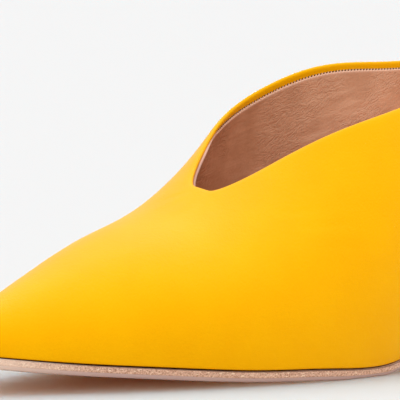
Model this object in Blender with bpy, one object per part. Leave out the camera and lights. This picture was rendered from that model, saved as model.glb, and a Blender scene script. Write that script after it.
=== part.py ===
"""Pointed low-back heeled mule with a V throat, left foot: upper, outsole, insole, heel and top lift.

The toe points to -Y, the outer (lateral) side of the foot to +X, and the shoe stands on the XY plane.
All shapes come from one last: a table of sections from the toe tip to the back of the heel.
"""
import bmesh
import bpy
import numpy as np

MM = 0.001            # the tables and sizes below are in millimetres

# Thicknesses and clearances
WALL = 2.0            # upper leather and lining together
SOLE = 2.7            # outsole under the forefoot
SOLE_WAIST = 2.1      # outsole at the waist and the heel seat
WAIST_FROM = 105.0    # where the outsole begins to thin and is thin, from the toe tip
WAIST_TO = 150.0
INSOLE = 2.4          # insole board with its sock
GAP = 0.3             # between pieces that lie on each other
TREAD_DIP = 0.7       # how far the foot bed's middle hangs below its edges under the forefoot
SEAT_DIP = 1.2        # and at the heel seat
SEAT_FROM = 165.0     # where the dish of the seat begins and is full, from the toe tip
SEAT_TO = 200.0
DISH_WIDTH = 40.0     # the dish is shallower where the sole is narrower than this

# Heel and top lift
BREAST_Y = 192.0      # front of the heel, from the toe tip
LIFT = 4.5            # height of the top lift
LIFT_WIDTH = 12.5     # its width, side to side
LIFT_BACK = 7.0       # its rounded back, behind its middle
LIFT_FRONT = 5.0      # its flat front, ahead of its middle
LIFT_SQUARE = 6       # how square the front's corners are
LIFT_Y = 217.0        # its middle, from the toe tip
TAPER = 3.2           # how quickly the heel draws in below the seat

# Mesh density
TOE_STEPS = 22        # stations from the toe tip to the throat
THROAT_STEPS = 40     # stations from the throat to the back
GIRTH_STEPS = 12      # steps from the feather edge to the topline
SOLE_STEPS = 6        # steps across the sole
HEEL_STEPS = 10       # rings down the heel
PLACES = 2000         # steps of the table that finds a station from its distance behind the toe tip
FOOT_BLEND = 0.12     # share of the girth over which the wall's foot turns from level to square
CROWDING = 1.5        # how much closer the stations lie at the toe tip and behind the throat
NEAR = 1.0e-3         # how near an edge of the last's surface its normal is read
STEP = 1.0e-4         # step along the last for a direction
FINE_STEP = 1.0e-6    # the same, close to the seam at the back
SMALL = 1.0e-6        # guards a division where the sole comes to a point
SHARP = 40.0          # edges bent more than this many degrees are shaded sharp

# The last, a row for each section. y is the section's place behind the toe tip.
# out, inn      half widths of the feather edge, lateral and medial
# zout, zin     heights of the feather edge
# cy, cx, cz    the ridge: the middle of the throat, and above the collar the unseen top of the last
# lean          slope of the wall at the feather edge, degrees from level
# side, top     fullness of the section at the feather edge and at the ridge
# turn, tilt    direction of the section where it crosses the ridge, degrees
# cout, cinn    share of the girth that the opening takes off, lateral and medial
COLUMNS = ("y", "out", "inn", "zout", "zin", "cy", "cx", "cz",
           "lean", "side", "top", "turn", "tilt", "cout", "cinn")
LAST = [
    (0.0,    0.0,  0.0, 11.4, 11.4,   0.0,  0.0,  11.4, 90.0,  0.0,  0.0,  0.0,  0.0, 0.00, 0.00),
    (3.0,    5.0,  5.0, 11.0, 11.0,   3.0,  0.0,  16.8, 88.0,  3.6,  3.0,  0.0,  0.0, 0.00, 0.00),
    (12.0,  10.5, 10.5,  9.8,  9.8,  12.0,  0.0,  22.0, 84.0,  7.0,  6.0,  0.0,  0.5, 0.00, 0.00),
    (30.0,  19.5, 20.0,  7.8,  7.8,  31.0,  0.0,  29.8, 80.0, 12.5, 11.0,  0.0,  3.0, 0.00, 0.00),
    (52.0,  28.5, 29.0,  5.9,  5.8,  54.0,  0.3,  38.3, 78.0, 20.0, 17.5,  0.0,  7.0, 0.00, 0.00),
    (74.0,  35.0, 34.5,  4.2,  4.3,  77.0,  0.0,  45.1, 77.0, 27.0, 21.7,  0.0,  9.2, 0.00, 0.00),
    (96.0,  38.5, 34.5,  3.3,  3.5, 101.0, -0.8,  62.9, 77.0, 34.7, 24.2,  0.0,  9.6, 0.22, 0.265),
    (118.0, 37.5, 31.0,  3.0,  7.0, 124.0, -1.5,  88.0, 72.5, 38.7, 28.5,  0.0, 10.8, 0.38, 0.42),
    (142.0, 32.5, 24.5, 12.4, 25.5, 148.0, -1.4, 100.0, 76.5, 37.5, 26.8,  0.0,  8.6, 0.445, 0.49),
    (166.0, 27.0, 20.0, 34.2, 45.5, 170.0, -1.0, 112.0, 82.5, 33.5, 23.0,  5.0,  5.0, 0.56, 0.645),
    (190.0, 25.0, 21.5, 53.0, 57.6, 186.0,  0.0, 121.5, 86.0, 26.0, 20.5, 20.0,  2.0, 0.68, 0.73),
    (210.0, 23.5, 22.5, 61.4, 61.8, 194.0,  0.0, 127.0, 88.0, 27.0, 20.0, 50.0,  0.0, 0.76, 0.78),
    (223.0, 15.5, 15.0, 64.6, 64.6, 197.0,  0.0, 129.0, 88.0, 30.0, 20.0, 75.0,  0.0, 0.80, 0.81),
    (229.0,  0.0,  0.0, 65.4, 65.4, 198.0,  0.0, 129.5, 88.0, 30.0, 20.0, 90.0,  0.0, 0.81, 0.81),
]
THROAT_ROW = 5        # the throat lies between this row and the next
THROAT_PART = 0.27    # how far along

YELLOW = (0.93, 0.53, 0.01)
TAN = (0.55, 0.33, 0.22)
SOCK = (0.50, 0.29, 0.19)
BLACK = (0.03, 0.025, 0.02)


def spline(t, values, flat_start, flat_end):
    """Smooth curve through the rows of values at t; its ends are level where the flags say so."""
    t, values = np.asarray(t, float), np.asarray(values, float)
    n, h = len(t), np.diff(t)[:, None]
    slopes = np.diff(values, axis=0) / h
    bend = np.zeros_like(values)
    for c in range(values.shape[1]):
        a, b = np.eye(n), np.zeros(n)
        for i in range(1, n - 1):
            a[i, i - 1:i + 2] = h[i - 1, 0], 2 * (h[i - 1, 0] + h[i, 0]), h[i, 0]
            b[i] = 6 * (slopes[i, c] - slopes[i - 1, c])
        if flat_start[c]:
            a[0, :2], b[0] = (2 * h[0, 0], h[0, 0]), 6 * slopes[0, c]
        if flat_end[c]:
            a[-1, -2:], b[-1] = (h[-1, 0], 2 * h[-1, 0]), -6 * slopes[-1, c]
        bend[:, c] = np.linalg.solve(a, b)

    def at(q):
        q = np.asarray(q, float)
        i = np.clip(np.searchsorted(t, q, side="right") - 1, 0, n - 2)
        width = h[i, 0]
        lo, hi = ((t[i + 1] - q) / width)[..., None], ((q - t[i]) / width)[..., None]
        cubic = (lo**3 - lo) * bend[i] + (hi**3 - hi) * bend[i + 1]
        return lo * values[i] + hi * values[i + 1] + cubic * (width**2)[..., None] / 6

    return at


class Last:
    """The surface of the last.

    v is the station from the toe tip (0) to the back (1), and u the girth from the feather edge (0)
    to the ridge (1). side is 1 on the lateral half and -1 on the medial half.
    """

    def __init__(self):
        col = dict(zip(COLUMNS, np.array(LAST).T))
        steps = np.sqrt(np.diff(col["out"])**2 + np.diff(col["y"])**2 + np.diff(col["zout"])**2)
        rows = np.concatenate([[0.0], np.cumsum(steps)]) / steps.sum()
        self.feathers = {
            1: spline(rows, np.c_[col["out"], col["y"], col["zout"]], (0, 1, 1), (0, 1, 1)),
            -1: spline(rows, np.c_[-col["inn"], col["y"], col["zin"]], (0, 1, 1), (0, 1, 1)),
        }
        self.ridge = spline(rows, np.c_[col["cx"], col["cy"], col["cz"]], (1, 1, 0), (1, 1, 1))
        form = np.c_[col["lean"], col["side"], col["top"], col["turn"], col["tilt"]]
        self.form = spline(rows, form, (0,) * 5, (1,) * 5)
        behind = THROAT_ROW + 1
        self.throat = rows[THROAT_ROW] + THROAT_PART * (rows[behind] - rows[THROAT_ROW])
        roots = np.sqrt(np.concatenate([[0.0], rows[behind:] - self.throat]))
        cuts = np.vstack([[0.0, 0.0], np.c_[col["cout"], col["cinn"]][behind:]])
        self.cut = spline(roots, cuts, (0, 0), (1, 1))
        self.place_v = np.linspace(0, 1, PLACES)
        self.place_y = self.feathers[1](self.place_v)[:, 1]

    def feather(self, v, side):
        return self.feathers[side](v)

    def outward(self, v, side):
        """Level direction that points out of the shoe, square to the feather edge."""
        step = self.feather(np.minimum(v + STEP, 1), side) - self.feather(np.maximum(v - STEP, 0), side)
        inner = (v > 0) & (v < 1)
        out = np.stack([step[..., 1] * inner, -step[..., 0], 0 * v], -1) * side
        return out / np.linalg.norm(out, axis=-1, keepdims=True)

    def ground(self, x, y):
        """Height of the foot bed at a place: straight across from edge to edge, less the dish."""
        v = np.interp(y, self.place_y, self.place_v)
        inn, out = self.feather(v, -1), self.feather(v, 1)
        width = out[..., 0] - inn[..., 0]
        share = np.clip((x - inn[..., 0]) / np.maximum(width, SMALL), 0, 1)
        seat = np.clip((y - SEAT_FROM) / (SEAT_TO - SEAT_FROM), 0, 1)
        dip = (TREAD_DIP + (SEAT_DIP - TREAD_DIP) * seat) * np.minimum(width / DISH_WIDTH, 1)
        return inn[..., 2] + (out - inn)[..., 2] * share - dip * 4 * share * (1 - share)

    def inside_edge(self, v, side, inset):
        """The feather edge moved in level by an inset, at the height of the foot bed."""
        edge = self.feather(v, side) - inset * self.outward(v, side)
        edge[..., 2] = self.ground(edge[..., 0], edge[..., 1])
        return edge

    def top(self, v, side):
        """Girth at the opening's edge; 1, the ridge itself, ahead of the throat."""
        root = np.sqrt(np.maximum(v - self.throat, 0.0))
        return 1.0 - self.cut(root)[..., 0 if side > 0 else 1] * (v > self.throat)

    def surface(self, v, u, side):
        """Cubic section from the feather edge to the ridge: v and u are grids of one shape."""
        foot, ridge = self.feather(v, side), self.ridge(v)
        lean, full_side, full_top, turn, tilt = np.moveaxis(self.form(v), -1, 0)
        lean, turn, tilt = np.radians(lean), np.radians(turn), np.radians(tilt)
        rise = self.outward(v, side) * np.cos(lean)[..., None]
        rise[..., 2] += np.sin(lean)
        across = np.stack([side * np.cos(turn) * np.cos(tilt), np.sin(turn), -side * np.sin(tilt)], -1)
        low, high = foot + rise * full_side[..., None], ridge + across * full_top[..., None]
        w = u[..., None]
        left = 1 - w
        return left**3 * foot + 3 * left**2 * w * low + 3 * left * w**2 * high + w**3 * ridge

    def normal(self, v, u, side):
        """Unit normal of the surface, pointing out of the shoe."""
        v = np.clip(v, NEAR, 1 - FINE_STEP)
        u = np.clip(u, NEAR, 1 - NEAR)
        along = self.surface(v + FINE_STEP, u, side) - self.surface(v - FINE_STEP, u, side)
        up = self.surface(v, u + NEAR, side) - self.surface(v, u - NEAR, side)
        out = np.cross(along, up) * side
        return out / np.linalg.norm(out, axis=-1, keepdims=True)


def stations(last):
    """Stations along the last, closer together at the toe tip and just behind the throat."""
    toe = last.throat * np.linspace(0, 1, TOE_STEPS + 1)**CROWDING
    back = last.throat + (1 - last.throat) * np.linspace(0, 1, THROAT_STEPS + 1)[1:]**CROWDING
    return np.concatenate([toe, back])


class Builder:
    """Collects points and faces for one closed mesh and turns them into an object."""

    def __init__(self):
        self.points, self.faces = [], []

    def add(self, grid):
        """Adds a grid of points and returns their numbers in the same shape."""
        start = sum(len(p) for p in self.points)
        self.points.append(grid.reshape(-1, 3))
        return start + np.arange(grid[..., 0].size).reshape(grid.shape[:-1])

    def skin(self, ids, flip=False):
        """Quads over a grid of point numbers."""
        quads = np.stack([ids[:-1, :-1], ids[1:, :-1], ids[1:, 1:], ids[:-1, 1:]], -1).reshape(-1, 4)
        self.faces.extend((quads[:, ::-1] if flip else quads).tolist())

    def object(self, name, colour, roughness):
        mesh = bpy.data.meshes.new(name)
        mesh.from_pydata((np.concatenate(self.points) * MM).tolist(), [], self.faces)
        shape = bmesh.new()
        shape.from_mesh(mesh)
        bmesh.ops.remove_doubles(shape, verts=shape.verts, dist=1e-6)
        bmesh.ops.dissolve_degenerate(shape, edges=shape.edges, dist=1e-7)
        bmesh.ops.triangulate(shape, faces=shape.faces, quad_method="BEAUTY")
        bmesh.ops.recalc_face_normals(shape, faces=shape.faces)
        shape.to_mesh(mesh)
        shape.free()
        mesh.shade_smooth()
        mesh.set_sharp_from_angle(angle=np.radians(SHARP))
        item = bpy.data.objects.new(name, mesh)
        bpy.context.collection.objects.link(item)
        material = bpy.data.materials.new(name)
        material.use_nodes = True
        shader = material.node_tree.nodes["Principled BSDF"]
        shader.inputs["Base Color"].default_value = (*colour, 1.0)
        shader.inputs["Roughness"].default_value = roughness
        shader.inputs["Metallic"].default_value = 0.0
        mesh.materials.append(material)
        return item


def upper(last, v):
    """One hollow wall: outer skin, inner skin a wall's thickness inside, top edge and foot."""
    b = Builder()
    share = np.linspace(0, 1, GIRTH_STEPS + 1)
    behind = v >= last.throat
    closed = v <= last.throat
    girths = {side: last.top(v, side)[:, None] * share for side in (1, -1)}
    along = np.broadcast_to(v[:, None], girths[1].shape)
    outers = {side: last.surface(along, girths[side], side) for side in (1, -1)}
    normals = {side: last.normal(along, girths[side], side) for side in (1, -1)}
    shared = normals[1][closed, -1] + normals[-1][closed, -1]
    foot = np.clip(1 - share / FOOT_BLEND, 0, 1)[:, None]
    for side in (1, -1):
        normals[side][closed, -1] = shared / np.linalg.norm(shared, axis=-1, keepdims=True)
        normals[side][0] = (0.0, -1.0, 0.0)
        normals[side][-1, :, 0] = 0.0
        level = (last.inside_edge(v, side, WALL) - last.feather(v, side))[:, None]
        inner = outers[side] + foot * level - (1 - foot) * WALL * normals[side]
        outer_ids, inner_ids = b.add(outers[side]), b.add(inner)
        b.skin(outer_ids)
        b.skin(inner_ids, flip=True)
        b.skin(np.stack([outer_ids[:, 0], inner_ids[:, 0]], 1))
        b.skin(np.stack([outer_ids[behind, -1], inner_ids[behind, -1]], 1), flip=True)
    return b.object("upper", YELLOW, 0.42)


def foot_bed(last, v, inset, lift):
    """Foot bed inset from the feather edge and lifted, as a grid that runs medial to lateral."""
    share = np.linspace(0, 1, SOLE_STEPS + 1)[None, :, None]
    inn, out = (last.inside_edge(v, side, inset)[:, None] for side in (-1, 1))
    grid = inn * (1 - share) + out * share
    grid[..., 2] = last.ground(grid[..., 0], grid[..., 1]) + lift
    return grid


def grid_normals(grid):
    """Upward unit normals of a plate's grid of points; each closed end has one normal."""
    along = np.gradient(grid, axis=0)
    across = np.gradient(grid, axis=1)
    along[[0, -1]] = along[[0, -1]].mean(axis=1, keepdims=True)
    across[[0, -1]] = (1.0, 0.0, 0.0)
    out = np.cross(across, along)
    return out / np.linalg.norm(out, axis=-1, keepdims=True)


def plate(name, top, bottom, colour, roughness):
    """A closed plate between two grids that meet in points at the toe and the back."""
    b = Builder()
    top_ids, bottom_ids = b.add(top), b.add(bottom)
    b.skin(top_ids)
    b.skin(bottom_ids, flip=True)
    for edge in (0, -1):
        b.skin(np.stack([top_ids[:, edge], bottom_ids[:, edge]], 1), flip=edge == 0)
    return b.object(name, colour, roughness)


def sole_grids(last, v):
    """Top and bottom of the outsole; the bottom is flat on the floor under the forefoot."""
    top = foot_bed(last, v, 0.0, -GAP)
    thin = np.clip((top[..., 1:2] - WAIST_FROM) / (WAIST_TO - WAIST_FROM), 0, 1)
    bottom = top - (SOLE + (SOLE_WAIST - SOLE) * thin) * grid_normals(top)
    bottom[..., 2] = np.maximum(bottom[..., 2], 0.0)
    return top, bottom


def lift_outline(count_back, count_front):
    """The top lift's outline, round behind and nearly flat in front, in the order of the heel's loop."""
    half = LIFT_WIDTH / 2
    turn = np.linspace(0, np.pi, count_back)
    back = np.c_[half * np.cos(turn), LIFT_BACK * np.sin(turn)]
    share = np.linspace(-1, 1, count_front + 2)[1:-1]
    front = np.c_[half * share, -LIFT_FRONT * np.sqrt(1 - share**LIFT_SQUARE)]
    return np.vstack([back, front]) + (0.0, LIFT_Y)


def heel(last, v, bottom):
    """Heel block: its top follows the outsole, then it draws in quickly to the top lift's outline."""
    b = Builder()
    seat = bottom[last.feather(v, 1)[:, 1] >= BREAST_Y] - (0.0, 0.0, GAP)
    seat_ids = b.add(seat)
    b.skin(seat_ids)
    loop_ids = np.concatenate([seat_ids[:, -1], seat_ids[-2::-1, 0], seat_ids[0, 1:-1]])
    loop = seat.reshape(-1, 3)[loop_ids]
    foot = lift_outline(2 * len(seat) - 1, SOLE_STEPS - 1)
    foot = np.c_[foot, np.full(len(foot), LIFT + GAP)]
    down = np.linspace(0, 1, HEEL_STEPS + 1)[:, None, None]
    draw = 1 - (1 - down)**TAPER
    rings = loop + (foot - loop) * np.concatenate([draw, draw, down], -1)
    ring_ids = b.add(rings[1:])
    ring_ids = np.vstack([loop_ids, ring_ids])
    b.skin(np.hstack([ring_ids, ring_ids[:, :1]]))
    b.faces.append(ring_ids[-1].tolist())
    return b.object("heel", YELLOW, 0.42), foot[:, :2]


def top_lift(outline):
    """Hard piece under the heel, with the heel's outline and a flat foot on the floor."""
    b = Builder()
    ids = b.add(np.stack([np.c_[outline, np.full(len(outline), z)] for z in (LIFT, 0.0)]))
    b.skin(np.hstack([ids, ids[:, :1]]))
    b.faces.extend([ids[0].tolist(), ids[1].tolist()])
    return b.object("top_lift", BLACK, 0.6)


def centre(items):
    """Moves the meshes so that the box around the shoe stands centred on the origin."""
    corners = np.array([item.bound_box for item in items]).reshape(-1, 3)
    middle = (corners.min(0) + corners.max(0)) / 2
    for item in items:
        for vertex in item.data.vertices:
            vertex.co.x -= middle[0]
            vertex.co.y -= middle[1]


def main():
    for item in list(bpy.data.objects):
        bpy.data.objects.remove(item, do_unlink=True)
    last = Last()
    v = stations(last)
    top, bottom = sole_grids(last, v)
    insole_bottom = foot_bed(last, v, WALL + 2 * GAP, 0.0)
    insole_top = insole_bottom + INSOLE * grid_normals(insole_bottom)
    block, outline = heel(last, v, bottom)
    items = [
        upper(last, v),
        plate("outsole", top, bottom, TAN, 0.7),
        plate("insole", insole_top, insole_bottom, SOCK, 0.6),
        block,
        top_lift(outline),
    ]
    centre(items)


main()
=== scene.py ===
# Pointed low-back heeled mule with a V throat, left foot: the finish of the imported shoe.
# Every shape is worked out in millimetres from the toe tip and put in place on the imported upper.
import math

import bmesh
import bpy
import numpy as np
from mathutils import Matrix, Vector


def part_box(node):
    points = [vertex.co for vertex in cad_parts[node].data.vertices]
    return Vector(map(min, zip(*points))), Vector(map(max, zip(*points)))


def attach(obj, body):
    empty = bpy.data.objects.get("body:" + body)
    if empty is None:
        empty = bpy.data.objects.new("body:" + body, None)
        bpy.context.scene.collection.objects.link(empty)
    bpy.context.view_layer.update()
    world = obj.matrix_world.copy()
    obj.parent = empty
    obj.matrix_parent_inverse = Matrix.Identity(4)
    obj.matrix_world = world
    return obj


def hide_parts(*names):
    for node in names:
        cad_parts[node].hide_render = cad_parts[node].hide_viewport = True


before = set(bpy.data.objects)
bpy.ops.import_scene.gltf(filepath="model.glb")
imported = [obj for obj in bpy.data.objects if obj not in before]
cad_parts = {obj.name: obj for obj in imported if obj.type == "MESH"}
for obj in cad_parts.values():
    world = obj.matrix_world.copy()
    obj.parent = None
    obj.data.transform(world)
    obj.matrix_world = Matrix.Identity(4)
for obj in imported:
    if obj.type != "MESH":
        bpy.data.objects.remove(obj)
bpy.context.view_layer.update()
mm = 0.001
print("packed shoe loaded:", ", ".join(sorted(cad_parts)))


# A row for each section. y is its place behind the toe tip. out, inn: half widths of the feather
# edge, zOut, zIn: its heights. cy, cx, cz: the ridge. lean: slope of the wall at the edge, degrees.
# side, top: fullness at the edge and at the ridge. turn, tilt: direction across the ridge, degrees.
# cutOut, cutIn: share of the girth that the opening takes off.
lastColumns = ("y", "out", "inn", "zOut", "zIn", "cy", "cx", "cz",
               "lean", "side", "top", "turn", "tilt", "cutOut", "cutIn")
lastRows = [
    (0.0,    0.0,  0.0, 11.4, 11.4,   0.0,  0.0,  11.4, 90.0,  0.0,  0.0,  0.0,  0.0, 0.00, 0.00),
    (3.0,    5.0,  5.0, 11.0, 11.0,   3.0,  0.0,  16.8, 88.0,  3.6,  3.0,  0.0,  0.0, 0.00, 0.00),
    (12.0,  10.5, 10.5,  9.8,  9.8,  12.0,  0.0,  22.0, 84.0,  7.0,  6.0,  0.0,  0.5, 0.00, 0.00),
    (30.0,  19.5, 20.0,  7.8,  7.8,  31.0,  0.0,  29.8, 80.0, 12.5, 11.0,  0.0,  3.0, 0.00, 0.00),
    (52.0,  28.5, 29.0,  5.9,  5.8,  54.0,  0.3,  38.3, 78.0, 20.0, 17.5,  0.0,  7.0, 0.00, 0.00),
    (74.0,  35.0, 34.5,  4.2,  4.3,  77.0,  0.0,  45.1, 77.0, 27.0, 21.7,  0.0,  9.2, 0.00, 0.00),
    (96.0,  38.5, 34.5,  3.3,  3.5, 101.0, -0.8,  62.9, 77.0, 34.7, 24.2,  0.0,  9.6, 0.22, 0.265),
    (118.0, 37.5, 31.0,  3.0,  7.0, 124.0, -1.5,  88.0, 72.5, 38.7, 28.5,  0.0, 10.8, 0.38, 0.42),
    (142.0, 32.5, 24.5, 12.4, 25.5, 148.0, -1.4, 100.0, 76.5, 37.5, 26.8,  0.0,  8.6, 0.445, 0.49),
    (166.0, 27.0, 20.0, 34.2, 45.5, 170.0, -1.0, 112.0, 82.5, 33.5, 23.0,  5.0,  5.0, 0.56, 0.645),
    (190.0, 25.0, 21.5, 53.0, 57.6, 186.0,  0.0, 121.5, 86.0, 26.0, 20.5, 20.0,  2.0, 0.68, 0.73),
    (210.0, 23.5, 22.5, 61.4, 61.8, 194.0,  0.0, 127.0, 88.0, 27.0, 20.0, 50.0,  0.0, 0.76, 0.78),
    (223.0, 15.5, 15.0, 64.6, 64.6, 197.0,  0.0, 129.0, 88.0, 30.0, 20.0, 75.0,  0.0, 0.80, 0.81),
    (229.0,  0.0,  0.0, 65.4, 65.4, 198.0,  0.0, 129.5, 88.0, 30.0, 20.0, 90.0,  0.0, 0.81, 0.81),
]
lastSizes = {
    "throatRow": 5,        # the throat lies between this row and the next
    "throatPart": 0.27,
    "treadDip": 0.7,       # sag of the foot bed's middle, forefoot and seat
    "seatDip": 1.2,
    "seatFrom": 165.0,
    "seatTo": 200.0,
    "dishWidth": 40.0,
    "throatTrim": 0.0042,  # share of the length that the tip of the V is cut back
    "throatCorner": 0.016, # softness of the two corners that this leaves
}


def spline(t, values, flatStart, flatEnd):
    # cubic pieces through the rows, with matching slopes and bends; ends level where flagged
    t, values = np.asarray(t, float), np.asarray(values, float)
    n, h = len(t), np.diff(t)[:, None]
    slopes = np.diff(values, axis=0) / h
    bend = np.zeros_like(values)
    for c in range(values.shape[1]):
        a, b = np.eye(n), np.zeros(n)
        for i in range(1, n - 1):
            a[i, i - 1:i + 2] = h[i - 1, 0], 2 * (h[i - 1, 0] + h[i, 0]), h[i, 0]
            b[i] = 6 * (slopes[i, c] - slopes[i - 1, c])
        if flatStart[c]:
            a[0, :2], b[0] = (2 * h[0, 0], h[0, 0]), 6 * slopes[0, c]
        if flatEnd[c]:
            a[-1, -2:], b[-1] = (h[-1, 0], 2 * h[-1, 0]), -6 * slopes[-1, c]
        bend[:, c] = np.linalg.solve(a, b)

    def at(q):
        # the piece that q falls in, weighted by the way from either end and its bend there
        q = np.asarray(q, float)
        i = np.clip(np.searchsorted(t, q, side="right") - 1, 0, n - 2)
        width = h[i, 0]
        lo, hi = ((t[i + 1] - q) / width)[..., None], ((q - t[i]) / width)[..., None]
        cubic = (lo**3 - lo) * bend[i] + (hi**3 - hi) * bend[i + 1]
        return lo * values[i] + hi * values[i + 1] + cubic * (width**2)[..., None] / 6

    return at


def unit(vectors):
    # each vector divided by its length
    return vectors / np.maximum(np.linalg.norm(vectors, axis=-1, keepdims=True), 1e-12)


def wayAlong(line):
    # running sum of the steps between a line's points
    return np.concatenate([[0.0], np.cumsum(np.linalg.norm(np.diff(line, axis=0), axis=1))])


def readAt(places, way, line):
    # a line's points or directions at new places on the way along it, straight between its own
    return np.stack([np.interp(places, way, values) for values in line.T], -1)


def crowded(count, share):
    # even steps from 0 to 1 drawn towards both ends by a sine; the end steps keep 1 less the share
    t = np.linspace(0, 1, count + 1)
    return t - share * np.sin(2 * np.pi * t) / (2 * np.pi)


def ramp(x, low, high):
    # 0 below low, 1 above high, with a soft start and end
    t = np.clip((x - low) / (high - low), 0, 1)
    return t * t * (3 - 2 * t)


class Last:
    # v is the station from the toe tip (0) to the back (1), u the girth from the feather edge (0)
    # to the ridge (1); side is 1 on the lateral half and -1 on the medial half

    def __init__(self):
        col = dict(zip(lastColumns, np.array(lastRows).T))
        steps = np.sqrt(np.diff(col["out"])**2 + np.diff(col["y"])**2 + np.diff(col["zOut"])**2)
        rows = np.concatenate([[0.0], np.cumsum(steps)]) / steps.sum()
        self.feathers = {
            1: spline(rows, np.c_[col["out"], col["y"], col["zOut"]], (0, 1, 1), (0, 1, 1)),
            -1: spline(rows, np.c_[-col["inn"], col["y"], col["zIn"]], (0, 1, 1), (0, 1, 1)),
        }
        self.ridge = spline(rows, np.c_[col["cx"], col["cy"], col["cz"]], (1, 1, 0), (1, 1, 1))
        form = np.c_[col["lean"], col["side"], col["top"], col["turn"], col["tilt"]]
        self.form = spline(rows, form, (0,) * 5, (1,) * 5)
        behind = lastSizes["throatRow"] + 1
        self.apex = rows[behind - 1] + lastSizes["throatPart"] * (rows[behind] - rows[behind - 1])
        self.throat = self.apex + lastSizes["throatTrim"]
        roots = np.sqrt(np.concatenate([[0.0], rows[behind:] - self.apex]))
        cuts = np.vstack([[0.0, 0.0], np.c_[col["cutOut"], col["cutIn"]][behind:]])
        self.cut = spline(roots, cuts, (0, 0), (1, 1))
        self.placeV = np.linspace(0, 1, 2000)
        self.placeY = self.feathers[1](self.placeV)[:, 1]

    def feather(self, v, side):
        # lower edge of the wall: the spline through the table's rows
        return self.feathers[side](v)

    def outward(self, v, side):
        # level direction out of the shoe, square to the feather edge
        h = 1e-4
        step = self.feather(np.minimum(v + h, 1), side) - self.feather(np.maximum(v - h, 0), side)
        inner = (v > 0) & (v < 1)
        return unit(np.stack([step[..., 1] * inner, -step[..., 0], 0 * v], -1) * side)

    def ground(self, x, y):
        # height of the foot bed: straight across from edge to edge, less a parabola of the dip
        v = np.interp(y, self.placeY, self.placeV)
        inn, out = self.feather(v, -1), self.feather(v, 1)
        width = out[..., 0] - inn[..., 0]
        share = np.clip((x - inn[..., 0]) / np.maximum(width, 1e-6), 0, 1)
        seat = (y - lastSizes["seatFrom"]) / (lastSizes["seatTo"] - lastSizes["seatFrom"])
        deeper = lastSizes["seatDip"] - lastSizes["treadDip"]
        dip = lastSizes["treadDip"] + deeper * np.clip(seat, 0, 1)
        dip = dip * np.minimum(width / lastSizes["dishWidth"], 1)
        return inn[..., 2] + (out - inn)[..., 2] * share - dip * 4 * share * (1 - share)

    def insideEdge(self, v, side, inset):
        # the feather edge moved in level by the inset, at the foot bed's height
        edge = self.feather(v, side) - np.asarray(inset)[..., None] * self.outward(v, side)
        edge[..., 2] = self.ground(edge[..., 0], edge[..., 1])
        return edge

    def top(self, v, side):
        # girth of the topline: 1 less a cut that grows with the root of the way behind the apex;
        # its tip is trimmed straight across, with corners that follow an exponential
        root = np.sqrt(np.maximum(v - self.apex, 0.0))
        behind = np.sqrt(np.maximum(v - self.throat, 0.0))
        corner = 1 - np.exp(-behind / lastSizes["throatCorner"])
        return 1.0 - self.cut(root)[..., 0 if side > 0 else 1] * corner

    def surface(self, v, u, side):
        # cubic section: foot, a handle up the lean, a handle across the ridge, ridge
        foot, ridge = self.feather(v, side), self.ridge(v)
        lean, fullSide, fullTop, turn, tilt = np.moveaxis(self.form(v), -1, 0)
        lean, turn, tilt = np.radians(lean), np.radians(turn), np.radians(tilt)
        rise = self.outward(v, side) * np.cos(lean)[..., None]
        rise[..., 2] += np.sin(lean)
        across = np.stack([side * np.cos(turn) * np.cos(tilt), np.sin(turn), -side * np.sin(tilt)], -1)
        low, high = foot + rise * fullSide[..., None], ridge + across * fullTop[..., None]
        w = u[..., None]
        left = 1 - w
        return left**3 * foot + 3 * left**2 * w * low + 3 * left * w**2 * high + w**3 * ridge

    def slopes(self, v, u, side):
        # change of the surface with v and with u
        h, k = 1e-5, 1e-3
        v, u = np.clip(v, k, 1 - h), np.clip(u, k, 1 - k)
        along = (self.surface(v + h, u, side) - self.surface(v - h, u, side)) / (2 * h)
        up = (self.surface(v, u + k, side) - self.surface(v, u - k, side)) / (2 * k)
        return along, up

    def normal(self, v, u, side):
        # square to both slopes, pointing out of the shoe on either side
        along, up = self.slopes(v, u, side)
        return unit(np.cross(along, up) * side)


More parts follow.
